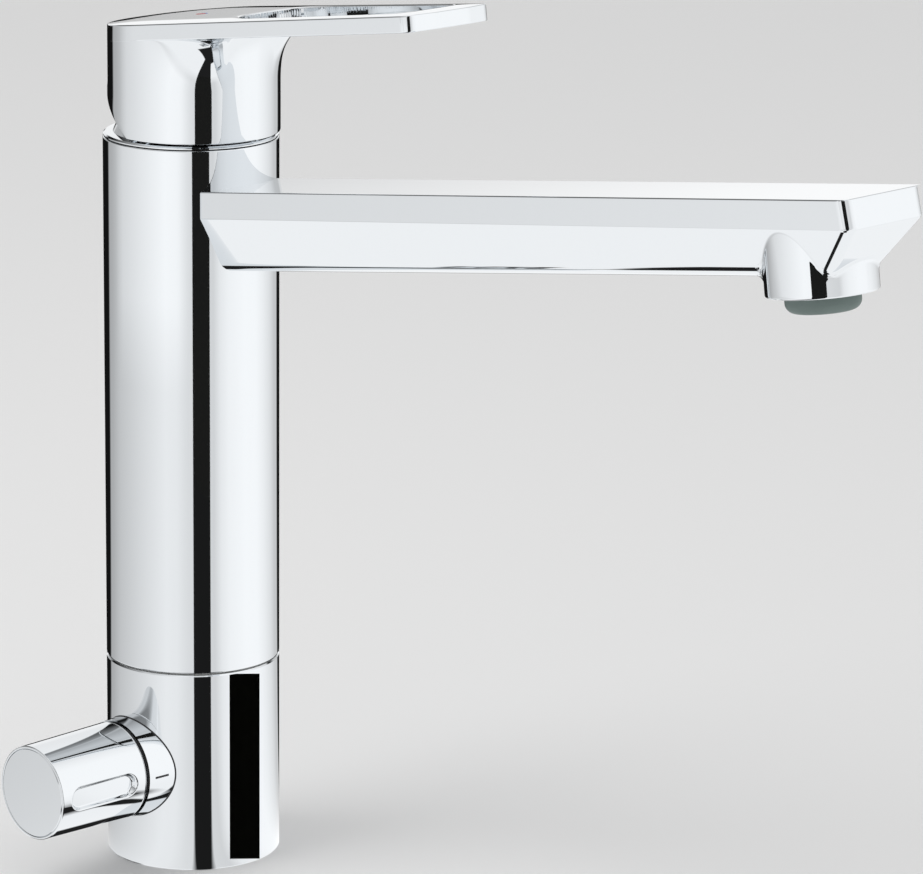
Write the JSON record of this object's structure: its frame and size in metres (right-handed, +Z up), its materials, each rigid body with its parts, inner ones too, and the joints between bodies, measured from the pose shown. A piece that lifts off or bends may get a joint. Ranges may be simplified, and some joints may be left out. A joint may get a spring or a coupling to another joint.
{
  "type": "kitchen mixer tap",
  "caption": "Chrome single-lever kitchen mixer tap with a straight swivelling spout, a loop lever and a stop valve on its base.",
  "frame": {"origin": "centre of the base's underside, in the plane of the sink deck", "axes": "+X along the spout and the lever at rest, +Z up along the body's axis, the stop valve's knob along -Y"},
  "size_m": [0.2602, 0.0795, 0.2393],
  "materials": {
    "chrome": "polished chrome plating",
    "brass": "machined brass",
    "steel": "stainless steel",
    "black_rubber": "smooth EPDM",
    "glide_plastic": "moulded acetal",
    "dark_plastic": "moulded, dark",
    "cartridge_plastic": "glass-filled moulding",
    "ceramic": "lapped alumina ceramic",
    "aerator_plastic": "moulded, grey-green",
    "hot_red": "red enamel",
    "cold_blue": "blue enamel"
  },
  "bodies": {
    "base": {"base_body": "chrome", "deck_gasket": "black_rubber", "riser_column": "brass", "riser_seals": "black_rubber", "lower_glide_ring": "glide_plastic", "swivel_stop": "glide_plastic", "lower_lip_seal": "black_rubber", "upper_lip_seal": "black_rubber", "upper_glide_ring": "glide_plastic", "port_seals": "black_rubber", "cartridge_base": "cartridge_plastic", "cartridge_housing": "cartridge_plastic", "fixed_disc": "ceramic", "cartridge_nut": "brass", "cap_ring": "chrome", "valve_headpart": "brass", "headpart_seal": "black_rubber", "valve_fixed_disc": "ceramic", "valve_collar": "chrome", "groove_ring": "dark_plastic"},
    "spout": {"spout_sleeve": "chrome", "aerator_housing": "aerator_plastic", "aerator_screen": "steel", "aerator_seal": "black_rubber"},
    "carrier": {"lever_carrier": "cartridge_plastic", "pivot_pin": "steel"},
    "disc": {"moving_disc": "ceramic", "disc_driver": "cartridge_plastic"},
    "lever": {"lever": "chrome", "spindle": "steel", "set_screw": "steel", "screw_cover": "chrome", "hot_mark": "hot_red", "cold_mark": "cold_blue"},
    "knob": {"stop_knob": "chrome", "knob_screw": "steel", "knob_cap": "chrome", "valve_spindle": "brass", "turning_disc": "ceramic"}
  },
  "joints": [
    {"name": "spout_swivel", "type": "hinge", "parent": "base", "child": "spout", "pos_m": [0, 0, 0.12], "axis": [0, 0, 1], "range_deg": [-70, 70]},
    {"name": "lever_turn", "type": "hinge", "parent": "base", "child": "carrier", "pos_m": [0, 0, 0.2], "axis": [0, 0, 1], "range_deg": [-45, 45]},
    {"name": "lever_lift", "type": "hinge", "parent": "carrier", "child": "lever", "pos_m": [0, 0, 0.20702], "axis": [0, -1, 0], "range_deg": [0, 25]},
    {"name": "disc_slide", "type": "slide", "parent": "carrier", "child": "disc", "axis": [1, 0, 0], "range_m": [0, 0.00415]},
    {"name": "stop_turn", "type": "hinge", "parent": "base", "child": "knob", "pos_m": [0, -0.042, 0.0268], "axis": [0, -1, 0], "range_deg": [0, 90]}
  ],
  "couplings": [
    {"joint": "disc_slide", "follows": "lever_lift", "m_per_rad": 0.0095}
  ]
}
